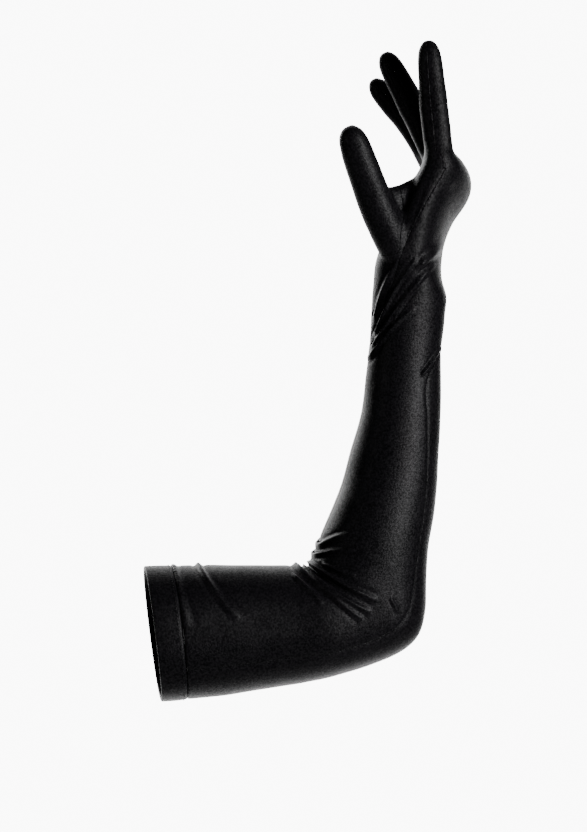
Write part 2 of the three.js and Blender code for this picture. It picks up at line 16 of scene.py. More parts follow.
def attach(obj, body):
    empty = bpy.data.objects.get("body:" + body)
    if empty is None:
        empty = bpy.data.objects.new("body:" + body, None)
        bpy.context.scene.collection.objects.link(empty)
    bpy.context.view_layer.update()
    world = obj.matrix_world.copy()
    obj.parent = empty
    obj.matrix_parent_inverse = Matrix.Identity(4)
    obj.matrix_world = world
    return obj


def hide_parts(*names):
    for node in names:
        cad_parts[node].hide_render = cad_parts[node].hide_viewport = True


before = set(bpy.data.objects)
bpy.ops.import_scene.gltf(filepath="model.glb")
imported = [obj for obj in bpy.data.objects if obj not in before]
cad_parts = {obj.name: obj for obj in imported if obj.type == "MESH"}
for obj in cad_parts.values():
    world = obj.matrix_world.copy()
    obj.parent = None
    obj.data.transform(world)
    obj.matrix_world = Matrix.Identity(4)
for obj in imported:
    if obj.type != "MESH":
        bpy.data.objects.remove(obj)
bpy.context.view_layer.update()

# %% [markdown]
# ## Sizes
# All sizes are in millimetres and are turned to metres when a mesh is made. They are the same
# named sizes and tables as the solid part, so the cloth lies on the same arm.

# %% Named sizes
CLOTH = 1.2
SEAM_GAP = 0.12
HEM_DEPTH = 18
HEM_FOLD = 1.1
THUMB_SEAM = 15
WEB_HEIGHT = 22
WEB_THICKNESS = 11
SIDEWALL = 9
SIDEWALL_TIP = 3.5
UPPER_ARM = 103.5
ELBOW_REACH = 42
ELBOW_TURN = 65
FOREARM = 115
WRIST = 70
HEEL = 38
PALM = 50
KNUCKLES = 20
GIRTHS = {"cuff": (91, 84), "elbow": (93, 78), "wrist": (47, 50), "palm": (31, 74)}
PALM_DEPTH, PALM_WIDTH = GIRTHS["palm"]
ELBOW_DEPTH = GIRTHS["elbow"][0]
CUFF_LEAN = 5
KNUCKLE_SLANT = 18
KNUCKLE_LIFT = 7.5
FINGER_DEPTH = 20.5
FINGER_WIDTH = 16.4
THUMB_DEPTH = 23
THUMB_WIDTH = 21
THUMB_LENGTH = 118
VOXEL = 1.25
INNER_VOXEL = VOXEL * 1.35
RING_STEP = 1.6
SLEEVE_SIDES = 120
FINGER_SIDES = 40

BONES = [
    # name, length, heading at its start and end
    ("upper_arm", UPPER_ARM, 2, 5),
    ("elbow", ELBOW_REACH * math.radians(ELBOW_TURN), 5, 5 + ELBOW_TURN),
    ("forearm", FOREARM, 5 + ELBOW_TURN, 84),
    ("wrist", WRIST, 84, 90),
    ("heel", HEEL, 90, 70),
    ("palm", PALM, 70, 66),
    ("knuckles", KNUCKLES, 66, 98),
]
SECTIONS = [
    # bone, place, girth, inner, outer, wide, turn, square, seam
    ("upper_arm", 0.0, "cuff", 0.5, 0.5, 1.0, 0, 2.1, -60),
    ("upper_arm", 0.33, "cuff", 0.49, 0.485, 0.97, 0, 2.1, -61),
    ("upper_arm", 0.63, "cuff", 0.465, 0.465, 0.94, 0, 2.1, -62),
    ("upper_arm", 0.9, "cuff", 0.44, 0.44, 0.92, 0, 2.1, -62),
    ("elbow", 0.2, "elbow", 0.4, 0.415, 1.0, 0, 2.15, -61),
    ("elbow", 0.46, "elbow", 0.395, 0.46, 0.97, 0, 2.15, -58),
    ("elbow", 0.7, "elbow", 0.395, 0.54, 0.95, 0, 2.1, -53),
    ("elbow", 0.82, "elbow", 0.395, 0.555, 0.95, 0, 2.1, -50),
    ("elbow", 1.0, "elbow", 0.39, 0.515, 0.96, 0, 2.1, -45),
    ("forearm", 0.27, "elbow", 0.366, 0.41, 0.95, 0, 2.1, -42),
    ("forearm", 0.53, "elbow", 0.322, 0.373, 0.87, 0, 2.1, -44),
    ("forearm", 0.75, "elbow", 0.3, 0.343, 0.78, 0, 2.1, -48),
    ("forearm", 0.99, "elbow", 0.263, 0.314, 0.7, 0, 2.1, -53),
    ("wrist", 0.38, "wrist", 0.5, 0.58, 1.02, 2, 2.1, -54),
    ("wrist", 0.63, "wrist", 0.475, 0.56, 1.0, 6, 2.1, -14),
    ("wrist", 0.92, "wrist", 0.455, 0.595, 1.02, 9, 2.1, 42),
    ("heel", 0.36, "wrist", 0.44, 0.61, 1.06, 13, 2.15, 72),
    ("heel", 0.8, "palm", 0.72, 0.72, 0.82, 17, 2.2, 86),
    ("palm", 0.3, "palm", 0.61, 0.5, 0.92, 20, 2.3, 90),
    ("palm", 0.75, "palm", 0.5, 0.46, 0.99, 21, 2.4, 90),
    ("knuckles", 0.15, "palm", 0.45, 0.56, 1.0, 21, 2.4, 90),
    ("knuckles", 0.45, "palm", 0.4, 0.57, 0.98, 21, 2.4, 90),
    ("knuckles", 0.8, "palm", 0.33, 0.42, 0.95, 21, 2.4, 90),
    ("knuckles", 1.0, "palm", 0.22, 0.22, 0.86, 21, 2.2, 90),
]
FINGERS = [
    # name, length, across, back, down, heading at root and tip, splay, size
    ("index", 98, -0.37, 0.27, 0.02, 97, 95, -1, 1.0),
    ("middle", 104, -0.12, 0.3, 0.0, 113, 117, 0, 1.0),
    ("ring", 100, 0.13, 0.2, 0.08, 112, 129, 2, 0.95),
    ("little", 79, 0.365, 0.15, 0.22, 100, 117, 4, 0.86),
]
FINGER_PROFILE = [
    # place on the finger, share of its full size
    (0.0, 0.72), (0.3, 1.0), (0.52, 1.0), (0.7, 0.9),
    (0.86, 0.82), (0.94, 0.68), (0.985, 0.42), (1.0, 0.2),
]
THUMB_BACK, THUMB_ACROSS = 0.075, -0.2
THUMB_START, THUMB_END, THUMB_SPLAY = 119, 111.5, -22
THUMB_PROFILE = [
    # place on the thumb, share of its full size
    (0.0, 1.0), (0.3, 1.1), (0.52, 1.05), (0.66, 1.0),
    (0.82, 0.96), (0.92, 0.86), (0.98, 0.58), (1.0, 0.28),
]
THUMB_FOOT = [
    # place on the thumb, reach of its seam towards the back of the hand and on the other sides
    (0.15, 0.13, 0.2), (0.2, 0.4, 0.6), (0.3, 0.63, 0.9), (0.42, 0.97, 1.0),
    (0.53, 1.25, 1.0), (0.65, 1.33, 1.0), (1.1, 1.33, 1.0),
]
WEB = [
    # place from the thumb to the palm, drop, tall, thick
    (0.0, -0.05, 1.0, 1.1), (0.55, 0.05, 0.93, 1.0), (0.8, 0.02, 0.95, 1.0), (1.0, 0.0, 0.9, 0.8),
]
FORK_HEIGHT = 20
FORKS = [
    # finger and its neighbour, counted from the index, and the place of the cloth between them on each
    (1, 2, 0.25, 0.35),
    (2, 3, 0.23, 0.37),
]
print("voxel for the cloth", VOXEL, "mm")

# %% [markdown]
# ## The middle line and the sections
# The middle line is walked bone by bone. Every section hangs on it, square to it, and its sizes
# run on a smooth curve through the rows of the table.

# %% Middle line and sections
starts = {}
walked = 0.0
for name, length, _, _ in BONES:
    starts[name] = walked
    walked += length
SLEEVE = walked
lengths = {name: length for name, length, _, _ in BONES}


def along(name, share):
    return starts[name] + share * lengths[name]


PLACES = np.arange(-12.0, SLEEVE + 16, 0.5)
knots = [(0.0, BONES[0][2])]
for name, length, start, end in BONES:
    knots += [(starts[name] + 0.001, start), (starts[name] + length, end)]
heads = np.radians(np.interp(PLACES + 0.25, [k[0] for k in knots], [k[1] for k in knots]))
LINE = np.zeros((len(PLACES), 2))
LINE[1:] = np.cumsum(np.stack([np.cos(heads), np.sin(heads)], axis=1)[:-1] * 0.5, axis=0)
LINE -= [np.interp(0, PLACES, LINE[:, 0]), np.interp(0, PLACES, LINE[:, 1])]


def hermite(places, values, at):
    """A smooth curve through the values, the same as in the solid part."""
    x, y, at = np.asarray(places, float), np.asarray(values, float), np.clip(at, places[0], places[-1])
    slope = np.empty_like(y)
    slope[1:-1] = (y[2:] - y[:-2]) / (x[2:] - x[:-2])
    slope[0], slope[-1] = (y[1] - y[0]) / (x[1] - x[0]), (y[-1] - y[-2]) / (x[-1] - x[-2])
    i = np.clip(np.searchsorted(x, at, side="right") - 1, 0, len(x) - 2)
    span = x[i + 1] - x[i]
    t = (at - x[i]) / span
    rise, a, b = y[i + 1] - y[i], slope[i] * span, slope[i + 1] * span
    return y[i] + t * a + t * t * (3 * rise - 2 * a - b) + t ** 3 * (a + b - 2 * rise)


SECTION_PLACES = [along(row[0], row[1]) for row in SECTIONS]
COLUMNS = {
    "inner": [row[3] * GIRTHS[row[2]][0] for row in SECTIONS],
    "outer": [row[4] * GIRTHS[row[2]][0] for row in SECTIONS],
    "half": [row[5] * GIRTHS[row[2]][1] / 2 for row in SECTIONS],
    "turn": [math.radians(row[6]) for row in SECTIONS],
    "square": [row[7] for row in SECTIONS],
    "seam": [row[8] for row in SECTIONS],
}


def section(place):
    return {name: hermite(SECTION_PLACES, column, place) for name, column in COLUMNS.items()}


def line_at(place):
    place = np.asarray(place, float)
    x, z = (np.interp(place, PLACES, LINE[:, k]) for k in (0, 1))
    h = np.interp(place, PLACES, heads)
    zero = np.zeros_like(x)
    return (np.stack([x, zero, z], -1), np.stack([np.cos(h), zero, np.sin(h)], -1),
            np.stack([np.sin(h), zero, -np.cos(h)], -1))


def smooth(x, low, high):
    t = np.clip((x - low) / (high - low), 0, 1)
    return t * t * (3 - 2 * t)


def near_knuckles(place):
    return smooth(place, along("palm", 0), along("knuckles", 0.3))


def seam_lift(place):
    past = smooth(place, along("knuckles", 0.25), along("knuckles", 0.9))
    return KNUCKLE_LIFT * near_knuckles(place) * (1 - 2 * past)


def sleeve_points(place, angle, grow=0.0):
    """Points of the sleeve at places along it and angles round it, grown outwards."""
    s = section(place)
    middle, ahead, outward = line_at(place)
    y = np.array([0.0, 1.0, 0.0])
    cos_t, sin_t = np.cos(s["turn"])[..., None], np.sin(s["turn"])[..., None]
    back = outward * cos_t - y * sin_t
    side = y * cos_t + outward * sin_t
    a = np.radians(angle)
    c, d = (np.sign(v) * np.abs(v) ** (2 / s["square"]) for v in (np.cos(a), np.sin(a)))
    deep = c * (np.where(c > 0, s["outer"], s["inner"]) + grow)
    wide = d * (s["half"] + grow)
    lean = math.tan(math.radians(CUFF_LEAN)) * np.maximum(0, 1 - place / along("upper_arm", 0.6))
    slant = -math.tan(math.radians(KNUCKLE_SLANT)) * near_knuckles(place)
    shift = lean * deep + slant * wide
    return middle + back * deep[..., None] + side * wide[..., None] + ahead * shift[..., None]


print("sleeve and hand", round(SLEEVE, 1), "mm along the middle line")

# %% [markdown]
# ## Fingers and thumb
# Each finger is a tube on a line of its own that bends once, near its middle joint.

# %% Finger lines
TURN = float(section(np.array([SLEEVE]))["turn"][0])


def unit(v):
    return v / np.linalg.norm(v, axis=-1, keepdims=True)


class Finger:
    def __init__(self, name, root, length, start, end, splay, depth, width, profile):
        self.name, self.length, self.depth, self.width = name, length, depth, width
        self.profile = profile
        share = np.linspace(0, 1, 25)
        heading = np.radians(start + (end - start) * smooth(share, 0.25, 0.65))
        across = math.sin(math.radians(splay)) - np.cos(heading) * math.tan(TURN)
        self.ahead = unit(np.stack([np.cos(heading), across, np.sin(heading)], -1))
        outward = np.stack([np.sin(heading) * math.cos(TURN), np.full(25, -math.sin(TURN)),
                            -np.cos(heading) * math.cos(TURN)], -1)
        self.side = unit(np.cross(outward, self.ahead))
        self.side[self.side[:, 1] < 0] *= -1
        self.back = np.cross(self.ahead, self.side)
        self.back[self.back[:, 0] < 0] *= -1
        steps = self.ahead * (length / 24)
        self.middle = root + np.concatenate([np.zeros((1, 3)), np.cumsum(steps[:-1], axis=0)])

    def at(self, share):
        share = np.atleast_1d(np.asarray(share, float))
        i = np.clip((share * 24).astype(int), 0, 23)
        middle = self.middle[i] + self.ahead[i] * ((share - i / 24) * self.length)[:, None]
        return middle, self.ahead[i], self.back[i], self.side[i]

    def size(self, share):
        xs, ys = zip(*self.profile)
        return hermite(xs, ys, np.clip(share, 0, 1))


def finger_root(across, back, down):
    place = np.array([along("knuckles", 0)])
    middle, ahead, outward = (v[0] for v in line_at(place))
    turn = float(section(place)["turn"][0])
    side = np.array([0, math.cos(turn), 0]) + outward * math.sin(turn)
    root = middle + side * across * PALM_WIDTH - ahead * down * PALM_WIDTH
    return root + outward * back * PALM_DEPTH / math.cos(turn)


digits = [Finger(name, finger_root(across, back, down), length, start, end, splay, FINGER_DEPTH * size,
                 FINGER_WIDTH * size, FINGER_PROFILE)
          for name, length, across, back, down, start, end, splay, size in FINGERS]
foot, _, foot_out = (v[0] for v in line_at(np.array([along("heel", 0.5)])))
thumb_root = foot + foot_out * THUMB_BACK * PALM_WIDTH + np.array([0, THUMB_ACROSS * PALM_WIDTH, 0])
thumb = Finger("thumb", thumb_root, THUMB_LENGTH, THUMB_START, THUMB_END, THUMB_SPLAY, THUMB_DEPTH,
               THUMB_WIDTH, THUMB_PROFILE)
for digit in digits + [thumb]:
    print(digit.name, "tip at", np.round(digit.at(1)[0][0], 1))

# %% [markdown]
# ## Skins
# A skin is a closed mesh over rings of points. The fine rings of the sleeve and fingers are
# joined by remeshing them together. Short bodies fill the foot of the gaps between the fingers.

# %% Skins
MM = 0.001


def mesh_object(name, points, faces):
    mesh = bpy.data.meshes.new(name)
    mesh.from_pydata((np.asarray(points) * MM).tolist(), [], faces)
    mesh.update()
    obj = bpy.data.objects.new(name, mesh)
    bpy.context.scene.collection.objects.link(obj)
    return obj


def band(low, high, count):
    """Faces between two rings, from the numbers of their first points."""
    return [(low + i, low + (i + 1) % count, high + (i + 1) % count, high + i) for i in range(count)]


def facing_out(points, faces):
    """The faces of a closed mesh, turned to point outwards."""
    if volume(points, faces) < 0:
        return [tuple(reversed(face)) for face in faces]
    return faces


def skin(name, rings):
    """A closed mesh over rings of points, each with the same count, capped at both ends."""
    rings = [np.asarray(ring) for ring in rings]
    count = len(rings[0])
    points = np.concatenate(rings + [rings[0].mean(0)[None], rings[-1].mean(0)[None]])
    faces = []
    for r in range(len(rings) - 1):
        faces += band(r * count, (r + 1) * count, count)
    top, low, last = len(points) - 1, len(points) - 2, (len(rings) - 1) * count
    for i in range(count):
        j = (i + 1) % count
        faces += [(low, j, i), (top, last + i, last + j)]
    return mesh_object(name, points, facing_out(points, faces))


def volume(points, faces):
    total = 0.0
    for face in faces:
        a = points[face[0]]
        for k in range(1, len(face) - 1):
            total += np.dot(a, np.cross(points[face[k]], points[face[k + 1]]))
    return total / 6


def sleeve_skin(first, grow):
    last = SLEEVE + grow
    places = np.linspace(first, last, int((last - first) / RING_STEP))
    angles = np.arange(SLEEVE_SIDES) * 360 / SLEEVE_SIDES
    return skin("sleeve", [sleeve_points(np.full(SLEEVE_SIDES, p), angles, grow) for p in places])


def finger_skin(digit, grow):
    shares = np.concatenate([np.arange(0, 0.9, RING_STEP / digit.length), np.linspace(0.9, 1, 12)])
    angles = np.radians(np.arange(FINGER_SIDES) * 360 / FINGER_SIDES)
    rings = []
    for share in np.unique(shares):
        middle, ahead, back, side = (v[0] for v in digit.at(share))
        size = float(digit.size(np.array([share]))[0])
        reach = grow * max(0, share - 0.9) / 0.1
        deep = np.cos(angles) * max(0.4, digit.depth * size / 2 + grow)
        wide = np.sin(angles) * max(0.4, digit.width * size / 2 + grow)
        rings.append(middle + ahead * reach + deep[:, None] * back + wide[:, None] * side)
    return skin(digit.name, rings)


def web_skin(name, grow):
    """The web of cloth between the thumb and the palm."""
    start, ahead, _, _ = (v[0] for v in thumb.at(0.5))
    place = along("palm", 0.75)
    end = sleeve_points(np.array([place]), np.array([225.0]), -0.8 * WEB_THICKNESS)[0]
    run = end - start
    side = unit(np.cross(ahead + line_at(np.array([place]))[1][0], run))
    up = unit(np.cross(run, side))
    turn = np.radians(np.arange(32) * 11.25)
    rings = []
    shares, drops, talls, thicks = zip(*WEB)
    for t in np.linspace(0, 1, 17):
        drop, tall, thick = (float(hermite(shares, column, np.array([t]))[0])
                             for column in (drops, talls, thicks))
        centre = start + run * t - up * drop * WEB_HEIGHT
        rings.append(centre + np.cos(turn)[:, None] * up * (tall * WEB_HEIGHT / 2 + grow)
                     + np.sin(turn)[:, None] * side * (thick * WEB_THICKNESS / 2 + grow))
    return skin(name, rings)


def fork_skin(first, second, from_share, to_share, grow):
    """Cloth that fills the foot of the gap between two fingers."""
    turn = np.radians(np.arange(24) * 15)
    rings = []
    for t in np.linspace(0, 1, 9):
        one, other = first.at(from_share), second.at(to_share)
        middle, ahead, back = (one[k][0] * (1 - t) + other[k][0] * t for k in range(3))
        thick = first.depth * 0.4 + grow
        rings.append(middle + np.cos(turn)[:, None] * unit(ahead) * (FORK_HEIGHT / 2 + grow)
                     + np.sin(turn)[:, None] * unit(back) * thick)
    return skin("fork", rings)


def evaluated(obj, name):
    """The mesh of an object with its modifiers, as a plain object. The first one is removed."""
    graph = bpy.context.evaluated_depsgraph_get()
    mesh = bpy.data.meshes.new_from_object(obj.evaluated_get(graph))
    out = bpy.data.objects.new(name, mesh)
    bpy.context.scene.collection.objects.link(out)
    discard(obj)
    return out


def discard(obj):
    mesh = obj.data
    bpy.data.objects.remove(obj)
    bpy.data.meshes.remove(mesh)


def joined(name, objects):
    """One mesh that holds the bodies of several."""
    points, faces, base = [], [], 0
    for obj in objects:
        v = coordinates(obj)
        points.append(v / MM)
        faces += [tuple(base + k for k in poly.vertices) for poly in obj.data.polygons]
        base += len(v)
        discard(obj)
    return mesh_object(name, np.concatenate(points), faces)


def coordinates(obj):
    v = np.empty(len(obj.data.vertices) * 3)
    obj.data.vertices.foreach_get("co", v)
    return v.reshape(-1, 3)


def set_coordinates(obj, v):
    obj.data.vertices.foreach_set("co", np.ascontiguousarray(v, dtype=np.float32).ravel())
    obj.data.update()


def body(name, first, grow, voxel):
    """The whole outer or inner surface of the glove as one closed mesh."""
    parts = [sleeve_skin(first, grow), web_skin("web", grow)]
    parts += [finger_skin(digit, grow) for digit in digits + [thumb]]
    parts += [fork_skin(digits[one], digits[other], low, high, grow) for one, other, low, high in FORKS]
    whole = joined(name, parts)
    remesh = whole.modifiers.new("remesh", "REMESH")
    remesh.mode = "VOXEL"
    remesh.voxel_size = voxel * MM
    remesh.adaptivity = 0
    return evaluated(whole, name)


outer = body("outer", HEM_DEPTH + SEAM_GAP, 0, VOXEL)
inner = body("inner", HEM_DEPTH - 4, -CLOTH, INNER_VOXEL)
print("outer", len(outer.data.polygons), "faces, inner", len(inner.data.polygons))

# %% [markdown]
# ## Folds
# Cloth gathers in the crease of the elbow and runs in long folds over the wrist to the thumb,
# because the hand is bent back. Each row is a ridge that starts beside one of these places, with
# its start, length and breadth as shares of a named size, and it swings from one heading to another.

# %% Fold tables
CREASE = np.array([97.2, 47.6])
WRIST_FAN = np.array([145.4, 184.2])
CUFF_TOP = np.array([13.4, 46.9])
FOLDS = [
    # origin, unit, x, z, heading from, to, length, rise, breadth, sides
    ("crease", ELBOW_DEPTH, -0.045, -0.08, -45, -45, 0.27, 1.8, 1.4, "both"),
    ("crease", ELBOW_DEPTH, -0.036, -0.005, -42, -36, 0.60, 2.9, 1.6, "both"),
    ("crease", ELBOW_DEPTH, 0.022, -0.005, -47, -22, 0.58, 3, 1.6, "both"),
    ("crease", ELBOW_DEPTH, 0.08, 0.0, -35, -22, 0.52, 2.7, 1.5, "both"),
    ("crease", ELBOW_DEPTH, 0.17, 0.0, -24, -18, 0.23, 1.7, 1.2, "both"),
    ("crease", ELBOW_DEPTH, 0.11, 0.045, 30, -10, 0.28, 1.8, 1.4, "both"),
    ("crease", ELBOW_DEPTH, 0.14, 0.11, 45, 2, 0.27, 1.6, 1.4, "both"),
    ("crease", ELBOW_DEPTH, 0.635, -0.24, -60, -62, 0.12, 0.99, 1.2, "near"),
    ("wrist", PALM_WIDTH, 0.036, 0.335, 82, 56, 0.65, 1.3, 1.1, "near"),
    ("wrist", PALM_WIDTH, 0.036, 0.18, 76, 48, 0.84, 1.7, 1.1, "near"),
    ("wrist", PALM_WIDTH, 0.0, 0.054, 66, 42, 1.0, 2, 1.2, "near"),
    ("wrist", PALM_WIDTH, -0.01, -0.018, 66, 32, 0.62, 1.7, 1.2, "near"),
    ("wrist", PALM_WIDTH, 0.16, 0.3, 62, 40, 0.7, 1.2, 0.99, "near"),
    ("wrist", PALM_WIDTH, 0.41, 0.83, 38, 36, 0.36, 2, 2.8, "near"),
    ("wrist", PALM_WIDTH, 0.44, -0.155, 48, 54, 0.33, 1.8, 1.2, "both"),
    ("wrist", PALM_WIDTH, 0.1, 0.2, 70, 50, 0.5, 1.1, 1.4, "far"),
    ("wrist", PALM_WIDTH, 0.16, 0.5, 62, 40, 0.5, 1.1, 1.4, "far"),
    ("cuff", ELBOW_DEPTH, 0.0, 0.03, -82, -78, 0.47, 1.3, 2.3, "both"),
    ("cuff", ELBOW_DEPTH, 0.165, 0.04, -66, -42, 0.5, 1.8, 1.9, "both"),
]
ORIGINS = {"crease": CREASE, "wrist": WRIST_FAN, "cuff": CUFF_TOP}


def fold_path(x0, z0, start, end, length):
    t = np.linspace(0, 1, 14)
    heading = np.radians(start + (end - start) * t)
    steps = np.stack([np.cos(heading), np.sin(heading)], -1) * length / 13
    return np.concatenate([[[x0, z0]], [x0, z0] + np.cumsum(steps[:-1], axis=0)])


def fold_height(v):
    """Height of the folds at points of the surface, as seen from the side of the glove."""
    height = np.zeros(len(v))
    flat = v[:, [0, 2]]
    for origin, size, x, z, start, end, length, rise, breadth, sides in FOLDS:
        path = fold_path(*(ORIGINS[origin] + np.array([x, z]) * size), start, end, length * size)
        lo, hi = path.min(0) - 4 * breadth, path.max(0) + 4 * breadth
        pick = np.nonzero(((flat > lo) & (flat < hi)).all(1))[0]
        if sides != "both":
            keep = smooth(v[pick, 1] * (-1 if sides == "near" else 1), -6, 3)
        else:
            keep = np.ones(len(pick))
        p = flat[pick]
        best, where = np.full(len(p), 1e9), np.zeros(len(p))
        for k in range(len(path) - 1):
            a, run = path[k], path[k + 1] - path[k]
            t = np.clip(((p - a) @ run) / (run @ run), 0, 1)
            d = np.linalg.norm(p - a - t[:, None] * run, axis=1)
            closer = d < best
            best[closer], where[closer] = d[closer], (k + t[closer]) / (len(path) - 1)
        wide = breadth * (0.75 + 0.5 * where)
        ridge = np.exp(-(best / wide) ** 2) - 0.35 * np.exp(-((best / wide - 1.9) / 0.8) ** 2)
        fade = np.clip(where * 8 + 0.3, 0, 1) * np.clip(1 - where, 0, 1) ** 0.4
        height[pick] += rise * ridge * fade * keep
    return height


print(len(FOLDS), "folds")

# %% [markdown]
# ## Where a point lies
# A point of the cloth is placed on the middle line and round it, so that seams, which follow the
# arm, can be found again on the fine mesh.

# %% Places and angles of points
def on_sleeve(v):
    """Place along the sleeve, angle round it in degrees and mean radius there, for points in mm."""
    tree = KDTree(len(PLACES))
    for i, (x, z) in enumerate(LINE):
        tree.insert((x, 0, z), i)
    tree.balance()
    place = np.array([PLACES[tree.find((x, 0, z))[1]] for x, _, z in v])
    s = section(place)
    middle, ahead, outward = line_at(place)
    y = np.array([0.0, 1.0, 0.0])
    cos_t, sin_t = np.cos(s["turn"])[:, None], np.sin(s["turn"])[:, None]
    off = v - middle
    deep = (off * (outward * cos_t - y * sin_t)).sum(1)
    wide = (off * (y * cos_t + outward * sin_t)).sum(1)
    power = s["square"] / 2
    d = deep / np.where(deep > 0, s["outer"], s["inner"])
    w = wide / s["half"]
    angle = np.degrees(np.arctan2(np.sign(w) * np.abs(w) ** power, np.sign(d) * np.abs(d) ** power))
    radius = (s["inner"] + s["outer"] + 2 * s["half"]) / 4
    return place, angle, radius, s["seam"]


def on_finger(digit, v):
    """Share along a finger, and how far from its middle line each point is."""
    shares = np.linspace(0, 1, 97)
    tree = KDTree(len(shares))
    middles = digit.at(shares)[0]
    for i, m in enumerate(middles):
        tree.insert(m, i)
    tree.balance()
    found = np.array([tree.find(p)[1] for p in v])
    return shares[found], np.linalg.norm(v - middles[found], axis=1)


def edges_of(obj):
    e = np.empty(len(obj.data.edges) * 2, dtype=np.int64)
    obj.data.edges.foreach_get("vertices", e)
    return e.reshape(-1, 2)


def relax(v, edges, weight, rounds):
    """Moves each point towards the mean of its neighbours."""
    count = np.bincount(edges.ravel(), minlength=len(v))[:, None]
    for _ in range(rounds):
        total = np.zeros_like(v)
        for k in range(3):
            total[:, k] = (np.bincount(edges[:, 0], v[edges[:, 1], k], len(v))
                           + np.bincount(edges[:, 1], v[edges[:, 0], k], len(v)))
        v = v + weight[:, None] * (total / count - v)
    return v


FINE_RELIEF = 0.12


def refine(obj, wanted):
    """Splits the faces where there is relief, so that the folds keep their edges."""
    work = bmesh.new()
    work.from_mesh(obj.data)
    work.verts.ensure_lookup_table()
    near = wanted > FINE_RELIEF
    picked = [e for e in work.edges if near[e.verts[0].index] and near[e.verts[1].index]]
    bmesh.ops.subdivide_edges(work, edges=picked, cuts=1, use_grid_fill=True)
    work.to_mesh(obj.data)
    work.free()
    obj.data.update()


def normals_of(obj):
    n = np.empty(len(obj.data.vertices) * 3, dtype=np.float32)
    obj.data.vertices.foreach_get("normal", n)
    return n.reshape(-1, 3).astype(float)


RELAX_ROUNDS = 26
RELAX_VOXEL = 1.35
FORK_TOP = 46
THUMB_ROOT_SHARE = 0.42
THUMB_ROOT_REACH = 24
FLAT_PALM = 0.85
UNEVEN = 0.5
GROOVE_DEPTH = 0.55
GROOVE_WIDTH = 1.3


def web_weight(v):
    """How much each point belongs to the webs between the fingers and at the thumb."""
    place = on_sleeve(v)[0]
    fork = smooth(place, along("palm", 0.55), along("knuckles", 0.5))
    reach = np.full(len(v), 1e9)
    for digit in digits:
        up = on_finger(digit, v)[0] * digit.length
        reach = np.minimum(reach, np.where(up < FORK_TOP, 0, up - FORK_TOP))
    webs = 0.5 * fork * np.clip(1 - reach / 8, 0, 1)
    share, far = on_finger(thumb, v)
    root = (share < THUMB_ROOT_SHARE) & (far < THUMB_ROOT_REACH)
    return np.maximum(webs, 0.5 * root * smooth(far, 10, 16))


def relief(v):
    """Height of the folds, which fade out over the palm, and how far over it each point is."""
    palm = smooth(on_sleeve(v)[0], along("heel", 0.9), along("palm", 0.7))
    return fold_height(v) * (1 - FLAT_PALM * palm), palm


def shape_cloth(obj, voxel):
    """Rounds the webs, then raises the folds and sinks the seams."""
    v = coordinates(obj) / MM
    rounds = int(RELAX_ROUNDS * (RELAX_VOXEL / voxel) ** 2)
    v = relax(v, edges_of(obj), np.maximum(web_weight(v), 0.03), rounds)
    set_coordinates(obj, v * MM)
    refine(obj, np.abs(relief(v)[0]))
    v = coordinates(obj) / MM
    height, palm = relief(v)
    uneven = np.array([noise.noise(Vector(p) * 0.02) + 0.5 * noise.noise(Vector(p) * 0.05) for p in v])
    height += UNEVEN * uneven * (1 - 0.5 * palm)
    place, angle, radius, seam = on_sleeve(v)
    sewn = 1 - smooth(place, along("palm", 0.6), along("knuckles", 0.2))
    for half_turn in (0, 180):
        off = np.abs((angle - seam - half_turn + 180) % 360 - 180)
        mm = np.radians(off) * radius
        height -= GROOVE_DEPTH * np.exp(-(mm / GROOVE_WIDTH) ** 2) * sewn
    set_coordinates(obj, (v + normals_of(obj) * height[:, None]) * MM)


shape_cloth(outer, VOXEL)
shape_cloth(inner, INNER_VOXEL)
for obj in (outer, inner):
    print(obj.name, "spans", np.round(coordinates(obj).min(0), 4), np.round(coordinates(obj).max(0), 4))

# %% [markdown]
# ## Cutting the panels
# The shell is the outer body less the inner one. It is cut along the seams by spaces that stand
# for the thumb, the strips and the palm side, the same way as the solid part is.

# %% Cutting spaces
REACH = 4.5
RING_SHARES = [0, 0.15, 0.3, 0.45, 0.62, 0.8, 0.91, 0.975, 1]


def sleeve_space(gap):
    places = np.concatenate([[-REACH], np.arange(2, SLEEVE - 1, 3.5), [SLEEVE, SLEEVE + REACH + gap]])
    rings = []
    for place in places:
        seam = float(section(np.array([place]))["seam"][0])
        angles = seam + np.linspace(0, 180, 17)
        ring = sleeve_points(np.full(17, place), angles, REACH)
        push = unit((ring[0] + ring[16]) / 2 - ring[8]) * (gap + 0.01 + seam_lift(place))
        ring[0] += push
        ring[16] += push
        rings.append(ring)
    return skin("sleeve_space", rings)


def swept_box(digit, first, last, deep, wide):
    inside = [s for s in RING_SHARES if first + 0.02 < s < last - 0.02]
    rings = []
    for share in [first, *inside, last]:
        middle, _, back, side = (v[0] for v in digit.at(share))
        (b0, b1), (w0, w1) = deep(share), wide
        rings.append([middle + back * b + side * w for b, w in ((b0, w0), (b0, w1), (b1, w1), (b1, w0))])
    return skin(digit.name + "_space", rings)


def finger_half(digit, towards_back, gap):
    reach = digit.depth / 2 + REACH
    half = digit.width / 2 + 1 + (-gap if towards_back else gap)
    first = 0.12 + (gap if towards_back else -gap) / digit.length
    far = reach if towards_back else -reach
    return swept_box(digit, first, 1 + REACH / digit.length, lambda share: (gap, far), (-half, half))


def strip_space(digit, direction, gap):
    def deep(share):
        half = SIDEWALL / 2 + (SIDEWALL_TIP - SIDEWALL) / 2 * (share - 0.16) / 0.72 + gap
        return half, -half
    far = digit.width / 2 + 0.7 + gap
    extra = gap / digit.length
    return swept_box(digit, 0.16 - extra, 0.88 + extra, deep, (0, far) if direction > 0 else (-far, 0))


